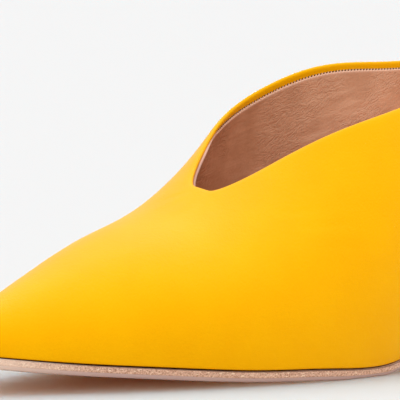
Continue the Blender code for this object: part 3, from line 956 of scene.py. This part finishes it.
def makeLip(material):
    # an oval carried round the opening; its upper half swells between the stitches as a power of
    # the cosine, and near the throat the whole oval moves up while its foot stays
    point, along, out, up, way = Opening(last, lip["below"]).frames(lip["step"], lip["inset"])
    angle = np.linspace(0, 2 * np.pi, 13)[:, None, None]
    sewn = ramp(np.abs(way), stitches["start"] - lip["sewnEnds"], stitches["start"] + lip["sewnEnds"])
    peak = (0.5 + 0.5 * np.cos(2 * np.pi * way / stitches["pitch"]))**2.5 * lip["peak"]
    peak += lip["ragged"] * softNoise(way / lip["raggedSize"], 0 * way + 0.5, 6)
    peak = (peak * sewn)[None, :, None]
    climb = lip["climb"] * (1 - ramp(np.abs(way), *lip["climbEnds"]))[:, None]
    climb *= 1 - lip["dip"] * (1 - ramp(np.abs(way), 0.0, lip["dipEnd"]))[:, None]
    upper = np.sin(angle) > 0
    height = np.where(upper, lip["height"] + peak * np.sin(angle), lip["foot"] + climb)
    ring = point + up * climb + out * lip["width"] * np.cos(angle) + up * height * np.sin(angle)
    mesh = Mesh()
    ids = mesh.add(ring, np.stack(np.broadcast_arrays(way, np.sin(angle[..., 0])), -1))
    mesh.skin(np.hstack([ids, ids[:, :1]]))
    return mesh.build("liningEdge", material, "lining_leather", ["upper"])


def capsules(mesh, centre, along, out, half, radius):
    # rounded rods, half long to each end and radius thick: way along is a sine, thickness the root
    # of 1 less its fourth power
    side = unit(np.cross(out, along))
    t = np.linspace(-1, 1, 7)[:, None, None]
    angle = np.linspace(0, 2 * np.pi, 9)[None, :, None]
    reach = np.sin(t * np.pi / 2) * half
    girth = radius * np.sqrt(np.maximum(1 - np.abs(np.sin(t * np.pi / 2))**4, 0.0))
    centre, along, side, out = (a[:, None, None] for a in (centre, along, side, out))
    grid = centre + along * reach + girth * (side * np.cos(angle) + out * np.sin(angle))
    place = np.concatenate(np.broadcast_arrays(reach, angle / (2 * np.pi)), -1)
    ids = mesh.add(grid, np.broadcast_to(place, grid.shape[:-1] + (2,)))
    for rod in ids:
        mesh.skin(rod, flip=True)


def makeStitches(material):
    # even marks on both sides of the throat, each a slanting rod, and a zigzag of rods at the back
    opening = Opening(last, stitches["below"])
    pitch, radius = stitches["pitch"], stitches["radius"]
    point, along, out, up, way = opening.frames(pitch / 8, stitches["inset"])
    marks = np.arange(stitches["start"], way[-1] - stitches["end"], pitch) + pitch / 2
    pick = np.searchsorted(way, np.concatenate([-marks[::-1], marks]))
    slant = unit(along[pick] + stitches["slant"] * up[pick])
    mesh = Mesh()
    capsules(mesh, point[pick], slant, out[pick], stitches["length"] / 2, radius)
    tack = np.linspace(-barTack["reach"], barTack["reach"], barTack["stitches"])[:, None]
    lean = np.where(np.arange(len(tack)) % 2, 1, -1)[:, None] * barTack["lean"]
    centres = point[0] + along[0] * tack + up[0] * barTack["half"]
    outs = np.broadcast_to(out[0], centres.shape)
    rise = unit(up[0] + lean * along[0])
    capsules(mesh, centres, rise, outs, barTack["half"], radius * barTack["thin"])
    return mesh.build("collarStitch", material, "stitching")


def bedGrid(v, inset, raised, count):
    # foot bed between the two inside edges, medial to lateral, at its own height plus raised
    share = np.linspace(0, 1, count + 1)[None, :, None]
    inn, out = (last.insideEdge(v, side, inset)[:, None] for side in (-1, 1))
    grid = inn * (1 - share) + out * share
    grid[..., 2] = last.ground(grid[..., 0], grid[..., 1]) + raised
    return grid


def gridNormals(grid):
    # square to the grid's rows and columns; the pointed ends share one direction
    along, across = np.gradient(grid, axis=0), np.gradient(grid, axis=1)
    along[[0, -1]] = along[[0, -1]].mean(axis=1, keepdims=True)
    across[[0, -1]] = (1.0, 0.0, 0.0)
    return unit(np.cross(across, along))


bottom = {
    "sole": 2.7,             # thickness of forefoot and waist
    "waist": 2.1,
    "thinFrom": 105.0,
    "thinTo": 150.0,
    "under": 0.30,           # the thickness counts from this far under the foot bed
    "gap": 0.20,             # shadow line between the leather and the sole
    "proud": 0.12,           # the sole edge stands out from the upper
    "bevel": 1.0,            # the smooth lower part draws in by this, as a quarter round
    "bevelFade": (150.0, 195.0, 0.75),  # between these places it comes to lose this share
    "band": 0.52,            # share of the edge's height above it
    "crown": 0.10,           # swell of the edge between its top and foot
    "edgeNoise": 0.10,
    "edgeGrain": (0.7, 1.9), # lengths of its two layers
    "edgeEnds": 3.0,         # it fades over this length at the toe tip and at the back
    "stations": 420,
    "across": 26,
    "edgeRows": 12,
}


def soleThickness(y):
    # thinner from the forefoot to the waist, in a straight line
    thin = np.clip((y - bottom["thinFrom"]) / (bottom["thinTo"] - bottom["thinFrom"]), 0, 1)
    return bottom["sole"] + (bottom["waist"] - bottom["sole"]) * thin


def soleBottom(v, inset, count):
    # the foot bed lowered by the sole's thickness, never under the floor
    grid = bedGrid(v, inset, -bottom["under"], count)
    grid = grid - soleThickness(grid[..., 1:2]) * gridNormals(grid)
    grid[..., 2] = np.maximum(grid[..., 2], 0.0)
    return grid


def soleEdge(v, high, low, side):
    # between the rims: straight above, a quarter round below, a sine's swell and ragged noise;
    # gives the way along, the grid and the grid's place on the surface map
    q = np.linspace(0, 1, bottom["edgeRows"] + 1)[1:-1]
    way = wayAlong(high)
    inward = 1 - np.sqrt(1 - np.clip((q - bottom["band"]) / (1 - bottom["band"]), 0, 1)**2)
    edge = high[:, None] + (low - high)[:, None] * np.stack([inward, inward, q], -1)
    short, long = bottom["edgeGrain"]
    ragged = softNoise(way[:, None] / short, q * 4 + side, 31)
    ragged += softNoise(way[:, None] / long, q * 2 + 5, 32)
    ragged *= bottom["edgeNoise"] * ramp(q, 0.0, 0.12) * (1 - ramp(q, 0.45, 0.6))
    ends = ramp(way, 0.0, bottom["edgeEnds"]) * ramp(way[-1] - way, 0.0, bottom["edgeEnds"])
    swell = ragged * ends[:, None] + bottom["crown"] * np.sin(np.pi * q)
    edge += swell[..., None] * last.outward(v, side)[:, None]
    return way, edge, np.stack(np.broadcast_arrays(way[:, None], q), -1)


def makeOutsole(material):
    # tread and top plate, joined by an edge that is upright and rough above and bevelled below
    v = crowded(bottom["stations"], wallSizes["drawn"])
    fadeFrom, fadeTo, fadeShare = bottom["bevelFade"]
    bevel = bottom["bevel"] * (1 - fadeShare * ramp(last.feather(v, 1)[:, 1], fadeFrom, fadeTo))
    top = bedGrid(v, np.full(len(v), -bottom["proud"]), -bottom["gap"], bottom["across"])
    under = soleBottom(v, bevel, bottom["across"])
    mesh = Mesh()
    topPlace = np.zeros(top.shape[:2] + (2,))
    topIds, underIds = mesh.add(top, topPlace), mesh.add(under, topPlace + 2)
    mesh.skin(topIds, flip=True)
    mesh.skin(underIds)
    for side, column in ((-1, 0), (1, -1)):
        high, low = top[:, column], under[:, column]
        way, edge, place = soleEdge(v, high, low, side)
        edgeIds = mesh.add(edge, place)
        rimTop = mesh.add(high, np.c_[way, 0 * way])[:, None]
        rimLow = mesh.add(low, np.c_[way, 0 * way + 1])[:, None]
        mesh.skin(np.hstack([rimTop, edgeIds, rimLow]), flip=side > 0)
    return mesh.build("soleLeather", material, "sole_leather", ["outsole"], sharp=50)


sock = {
    "thickness": 2.35,       # board and leather
    "inset": 2.12,
    "round": 0.5,            # turn of its upper edge
    "stations": 260,
    "across": 24,
}


def makeSock(material):
    # foot bed grid and its copy raised by the thickness, with a quarter round along the upper edge
    v = crowded(sock["stations"], wallSizes["drawn"])
    low = bedGrid(v, np.full(len(v), sock["inset"]), 0.0, sock["across"])
    up = gridNormals(low)
    high = bedGrid(v, np.full(len(v), sock["inset"] + sock["round"]), 0.0, sock["across"])
    high = high + sock["thickness"] * gridNormals(high)
    mesh = Mesh()
    lowIds, highIds = mesh.add(low), mesh.add(high)
    mesh.skin(highIds, flip=True)
    mesh.skin(lowIds)
    turn = np.linspace(0, np.pi / 2, 6)[:-1, None]
    for side, column in ((-1, 0), (1, -1)):
        start = low[:, None, column] + (sock["thickness"] - sock["round"]) * up[:, None, column]
        drop = high[:, None, column] - start
        edge = start + drop * (1, 1, 0) * (1 - np.cos(turn)) + drop * (0, 0, 1) * np.sin(turn)
        strip = np.hstack([highIds[:, column, None], mesh.add(edge)[:, ::-1], lowIds[:, column, None]])
        mesh.skin(strip, flip=side > 0)
    return mesh.build("insoleSock", material, "lining_leather", ["insole"])


heel = {
    "breast": 192.0,         # its front, behind the toe tip
    "middle": 217.0,         # the top lift's middle
    "lift": 4.5,             # thickness of the top lift
    "width": 12.5,           # the lift's width, and its reach behind and ahead of its middle
    "back": 7.0,
    "front": 5.0,
    "square": 6,             # how flat the lift's front is
    "taper": 3.2,
    "gap": 0.06,             # joints to the sole and to the lift
    "seamDepth": 0.18,       # seam down the breast; half its width counts in points of the outline
    "seamHalf": 0.7,
    "corner": 12,            # passes of smoothing that round the breast's corners
    "inset": 0.12,           # from the sole's edge to the heel's
    "across": 12,
    "stations": 900,
    "rings": 90,
    "backPoints": 150,
    "frontPoints": 60,
}
lift = {
    "edge": 0.45,            # worn round of its lower edge
    "upper": ((3.0, 0.0), (0.25, 0.0), (0.05, 0.12), (0.0, 0.3)),   # inset and drop of its top rings
    "tread": (1.2, 3.0),     # insets of the rings under it
    "points": 160,           # of its outline before it is evened out and rounded
    "corner": 3,
}


def evenLine(line, count):
    # the line resampled at even steps, both ends kept
    way = wayAlong(line)
    return readAt(np.linspace(0, way[-1], count), way, line)


def pairedLoop(back, front):
    # a closed loop of a back line and the front line that joins its ends, each with its own points
    front = evenLine(np.vstack([back[-1:], front, back[:1]]), heel["frontPoints"] + 2)[1:-1]
    return np.vstack([evenLine(back, heel["backPoints"]), front])


def roundedLoop(loop, passes):
    # every point moves to the mean of its neighbours and itself, a few times over
    for _ in range(passes):
        loop = (np.roll(loop, 1, axis=0) + 2 * loop + np.roll(loop, -1, axis=0)) / 4
    return loop


def liftLoop():
    # half an ellipse behind and a nearly flat front, from the lateral end of the ellipse round
    half = heel["width"] / 2
    turn = np.linspace(0, np.pi, lift["points"])
    back = np.c_[half * np.cos(turn), heel["back"] * np.sin(turn)]
    share = np.linspace(-1, 1, lift["points"])[1:-1]
    front = np.c_[half * share, -heel["front"] * (1 - np.abs(share)**heel["square"])**0.5]
    return roundedLoop(pairedLoop(back, front) + (0.0, heel["middle"]), lift["corner"])


def fan(ring, shares, drop):
    # copies of a ring drawn towards its middle point, which lies lower by the drop
    middle = ring.mean(0) - (0.0, 0.0, drop)
    return middle + (ring - middle) * np.array(shares)[:, None, None]


def makeHeel(material):
    # rings between the seat's outline and the top lift's: level place draws in by
    # 1 less (1 less depth) to the taper, height goes down evenly; a seam runs down the breast
    v = crowded(heel["stations"], wallSizes["drawn"])
    v = v[last.feather(v, 1)[:, 1] >= heel["breast"]]
    seat = soleBottom(v, heel["inset"], heel["across"]) - (0.0, 0.0, heel["gap"])
    back = np.vstack([seat[:, -1], seat[-2::-1, 0]])
    loop = roundedLoop(pairedLoop(back, seat[0, 1:-1]), heel["corner"])
    foot = liftLoop()
    foot = np.c_[foot, np.full(len(foot), heel["lift"] + heel["gap"])]
    down = np.linspace(0, 1, heel["rings"] + 1)[:, None]
    draw = 1 - (1 - down)**heel["taper"]
    rings = loop + (foot - loop) * np.stack([draw, draw, down], -1)
    place = np.arange(len(loop)) - heel["backPoints"] - (heel["frontPoints"] - 1) / 2
    seam = np.exp(-(place / heel["seamHalf"])**2) * ramp(down, 0.0, 0.03)
    rings[..., 1] += heel["seamDepth"] * seam
    shares = np.linspace(0.02, 0.97, 8)
    lids = fan(rings[0], shares, 1.0), fan(rings[-1], shares[::-1], 0.0)
    mesh = Mesh()
    mesh.tube(np.concatenate([lids[0], rings, lids[1]]))
    return mesh.build("heelCover", material, "upper_leather", ["heel"])


def makeTopLift(material):
    # the heel's end outline at a list of insets and heights: top, side, round edge, tread
    outline = liftLoop()
    out = unit(outline - outline.mean(0))
    top, edge = heel["lift"], lift["edge"]
    turn = np.linspace(0, np.pi / 2, 6)
    profile = [(inset, top - drop) for inset, drop in lift["upper"]] + [(0.0, edge * 2)]
    profile += list(zip(edge * (1 - np.cos(turn)), edge * (1 - np.sin(turn))))
    profile += [(inset, 0.0) for inset in lift["tread"]]
    rings = np.stack([np.c_[outline - out * inset, np.full(len(outline), z)] for inset, z in profile])
    mesh = Mesh()
    mesh.tube(rings)
    return mesh.build("topLift", material, "top_lift_rubber", ["top_lift"], sharp=60)


yellow = makeNappa()
liningSkin = makeLining()
makeUpper(yellow)
makeLiningWall(liningSkin)
makeLip(makeCutEdge())
makeStitches(makeThread())
makeSock(makeSockSkin())
makeOutsole(makeSole())
makeHeel(yellow)
makeTopLift(makeRubber())


studio = {
    "azimuth": 50.0,         # the camera's direction round the shoe and above it, degrees
    "elevation": 4.24,
    "distance": 1100.0,      # mm
    "aim": (-31.4, -6.4, 43.1),
    "lens": 360.4,
    "sensor": 36.0,
    "backdrop": 0.921,       # brightness of the sky, and of the floor in open light
    "key": 0.54,             # what the soft overhead light adds to it
    "keyAzimuth": 200.0,
    "keyElevation": 84.0,
    "keySpread": 90.0,
    "glow": (0.020, 0.008, 0.004),      # light that comes up through the sheet
    "bleed": 75.0,           # how far light spreads under its surface, mm
    "bleedTint": (1.0, 0.55, 0.38),
    "floorReach": 12.0,      # m
    "floorClouds": 300.0,    # mm
    "clip": (0.05, 60.0),    # m
}


def makeFloor():
    # plain milky sheet whose paleness makes the lit floor as bright as the sky behind it
    lit = studio["backdrop"] + studio["key"]
    pale = tuple((studio["backdrop"] - glow) / lit for glow in studio["glow"])
    finish = Finish("milkySheet", {
        "Roughness": 0.9,
        "Specular IOR Level": 0.0,
        "Subsurface Weight": 1.0,
        "Subsurface Radius": studio["bleedTint"],
        "Subsurface Scale": studio["bleed"] * mm,
        "Emission Color": (*studio["glow"], 1.0),
        "Emission Strength": 1.0,
    })
    finish.shader.subsurface_method = "BURLEY"
    soft = finish.noise(finish.place(), studio["floorClouds"], 2.0)
    material = finish.set(colour=finish.mix(soft, tuple(c * 0.998 for c in pale), pale))
    mesh = bpy.data.meshes.new("floor")
    reach = studio["floorReach"]
    corners = [(-reach, -reach, 0), (reach, -reach, 0), (reach, reach, 0), (-reach, reach, 0)]
    mesh.from_pydata(corners, [], [(0, 1, 2, 3)])
    mesh.materials.append(material)
    floor = bpy.data.objects.new("floor", mesh)
    bpy.context.collection.objects.link(floor)


def makeSky():
    # an even pale light from every side
    world = bpy.data.worlds.new("studioSky")
    bpy.context.scene.world = world
    world.use_nodes = True
    background = world.node_tree.nodes["Background"]
    background.inputs["Color"].default_value = (1.0, 1.0, 1.0, 1.0)
    background.inputs["Strength"].default_value = studio["backdrop"]


def makeKey():
    # a wide overhead light; what it adds on the floor is its strength over pi, times the slope
    data = bpy.data.lights.new("key", "SUN")
    data.angle = math.radians(studio["keySpread"])
    data.energy = studio["key"] * math.pi / math.sin(math.radians(studio["keyElevation"]))
    light = bpy.data.objects.new("key", data)
    tip = math.pi / 2 - math.radians(studio["keyElevation"])
    light.rotation_euler = (tip, 0.0, math.radians(studio["keyAzimuth"]))
    bpy.context.collection.objects.link(light)


def makeCamera():
    # stands off from its aim along the direction that azimuth and elevation give
    data = bpy.data.cameras.new("camera")
    data.lens, data.sensor_width = studio["lens"], studio["sensor"]
    data.clip_start, data.clip_end = studio["clip"]
    camera = bpy.data.objects.new("camera", data)
    a, e = math.radians(studio["azimuth"]), math.radians(studio["elevation"])
    back = np.array([math.sin(a) * math.cos(e), -math.cos(a) * math.cos(e), math.sin(e)])
    camera.location = (np.array(studio["aim"]) + back * studio["distance"]) * mm
    camera.rotation_euler = (math.pi / 2 - e, 0.0, a)
    bpy.context.collection.objects.link(camera)
    bpy.context.scene.camera = camera


makeFloor()
makeSky()
makeKey()
makeCamera()
bpy.context.scene.view_settings.view_transform = "Standard"
print("studio made")
